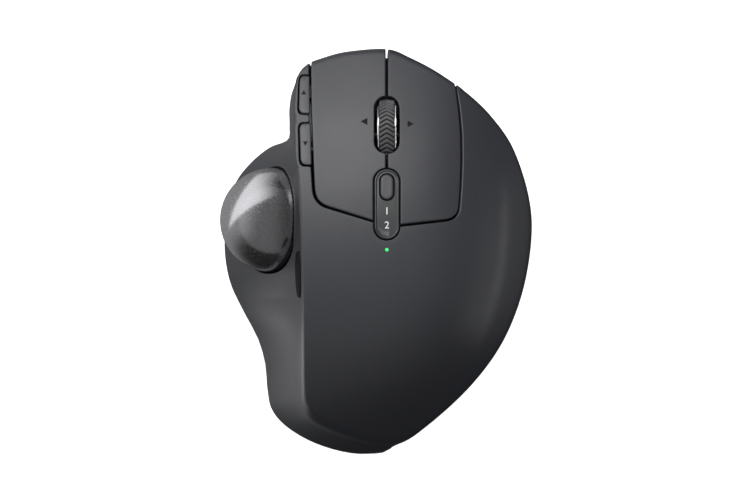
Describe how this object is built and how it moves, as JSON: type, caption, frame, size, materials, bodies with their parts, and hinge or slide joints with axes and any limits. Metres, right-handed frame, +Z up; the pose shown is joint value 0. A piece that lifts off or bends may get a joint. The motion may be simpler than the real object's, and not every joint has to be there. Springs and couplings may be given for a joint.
{
  "type": "trackball mouse",
  "caption": "Right-hand thumb trackball mouse with a sculpted housing, tilting steel base, scroll wheel with side tilt, and click, thumb, device and precision buttons.",
  "frame": {"origin": "middle of the footprint on the desk", "axes": "+X to the user's right, +Y towards the nose and the click buttons, +Z up"},
  "size_m": [0.1025, 0.1325, 0.0514],
  "materials": {
    "shell": "soft-touch graphite, fine matte",
    "key": "soft-touch grey, slightly lighter",
    "dark_plastic": "dark moulded plastic",
    "inner_plastic": "plain moulded plastic",
    "gloss_black": "polished black plastic",
    "white_plastic": "white moulded plastic",
    "rubber": "soft black rubber",
    "steel": "stamped steel",
    "bright_steel": "polished metal",
    "ball": "polished graphite with fine metallic specks",
    "board": "green solder mask",
    "chip": "black package",
    "ceramic": "white ceramic bearing ball",
    "clear": "clear moulded lens",
    "light": "green-lit light guide",
    "foil": "foil-wrapped cell"
  },
  "bodies": {
    "base": {"sole_pad": "rubber", "base_plate": "steel", "hinge_pins": "bright_steel"},
    "housing": {"hinge_leaves": "steel", "bottom_case": "dark_plastic", "upper_shell": "shell", "shell_posts": "inner_plastic", "case_screws": "bright_steel", "magnets": "bright_steel", "main_board": "board", "board_screws": "bright_steel", "controller_chip": "chip", "radio_chip": "chip", "battery": "foil", "battery_plug": "white_plastic", "usb_socket": "bright_steel", "usb_board": "board", "power_switch": "dark_plastic", "ball_cup": "gloss_black", "bearing_studs": "ceramic", "sensor_lens": "clear", "ball_sensor": "chip", "sensor_board": "board", "inner_frame": "inner_plastic", "pivot_pins": "bright_steel", "switch_board": "board", "left_switch": "dark_plastic", "right_switch": "dark_plastic", "middle_switch": "dark_plastic", "tilt_switches": "dark_plastic", "lever_pin": "bright_steel", "thumb_bracket": "inner_plastic", "thumb_board": "board", "thumb_switches": "dark_plastic", "switch_bezel": "gloss_black", "top_board": "board", "device_switch": "dark_plastic", "status_light": "light", "light_pipe": "light", "precision_board": "board", "precision_switch": "dark_plastic", "ribbon_cables": "white_plastic"},
    "left_click": {"left_button": "shell", "left_button_arm": "inner_plastic"},
    "right_click": {"right_button": "shell", "right_button_arm": "inner_plastic"},
    "forward_key": {"forward_button": "key"},
    "back_key": {"back_button": "key"},
    "device_key": {"device_button": "key"},
    "precision_key": {"precision_button": "dark_plastic"},
    "power_knob": {"power_slider": "white_plastic"},
    "ball": {"trackball": "ball"},
    "lever": {"wheel_lever": "inner_plastic"},
    "cradle": {"wheel_cradle": "dark_plastic", "wheel_encoder": "chip"},
    "wheel": {"wheel_hub": "bright_steel", "wheel_tyre": "rubber"}
  },
  "joints": [
    {"name": "base_tilt", "type": "hinge", "parent": "base", "child": "housing", "pos_m": [0.026, 0, 0.0049], "axis": [0, 1, 0], "range_deg": [0, 20]},
    {"name": "left_press", "type": "hinge", "parent": "housing", "child": "left_click", "pos_m": [0, 0.018, 0.0355], "axis": [-1, 0, 0], "range_deg": [0, 0.8], "stiffness_Nm_per_rad": 3, "springref_deg": -0.57},
    {"name": "right_press", "type": "hinge", "parent": "housing", "child": "right_click", "pos_m": [0, 0.018, 0.0355], "axis": [-1, 0, 0], "range_deg": [0, 0.8], "stiffness_Nm_per_rad": 3, "springref_deg": -0.57},
    {"name": "forward_press", "type": "slide", "parent": "housing", "child": "forward_key", "axis": [0, 0, -1], "range_m": [0, 0.00045], "stiffness_N_per_m": 1000, "springref_m": -0.0005},
    {"name": "back_press", "type": "slide", "parent": "housing", "child": "back_key", "axis": [0, 0, -1], "range_m": [0, 0.00045], "stiffness_N_per_m": 1000, "springref_m": -0.0005},
    {"name": "device_press", "type": "slide", "parent": "housing", "child": "device_key", "axis": [0, 0, -1], "range_m": [0, 0.0004], "stiffness_N_per_m": 1000, "springref_m": -0.0005},
    {"name": "precision_press", "type": "slide", "parent": "housing", "child": "precision_key", "axis": [1, 0, 0], "range_m": [0, 0.0004], "stiffness_N_per_m": 1000, "springref_m": -0.0005},
    {"name": "power_slide", "type": "slide", "parent": "housing", "child": "power_knob", "axis": [0, 1, 0], "range_m": [0, 0.0024]},
    {"name": "ball_roll", "type": "hinge", "parent": "housing", "child": "ball", "pos_m": [-0.0341, 0.0101, 0.0255], "axis": [-0.848, 0, 0.5299], "continuous": true},
    {"name": "wheel_press", "type": "hinge", "parent": "housing", "child": "lever", "pos_m": [0, 0.0195, 0.02], "axis": [-1, 0, 0], "range_deg": [0, 1], "stiffness_Nm_per_rad": 2, "springref_deg": -2.29},
    {"name": "wheel_tilt", "type": "hinge", "parent": "lever", "child": "cradle", "pos_m": [0.0034, 0, 0.02], "axis": [0, 1, 0], "range_deg": [-2.5, 2.5], "stiffness_Nm_per_rad": 0.5},
    {"name": "wheel_spin", "type": "hinge", "parent": "cradle", "child": "wheel", "pos_m": [0.0034, 0.0376, 0.0252], "axis": [-1, 0, 0], "continuous": true}
  ]
}
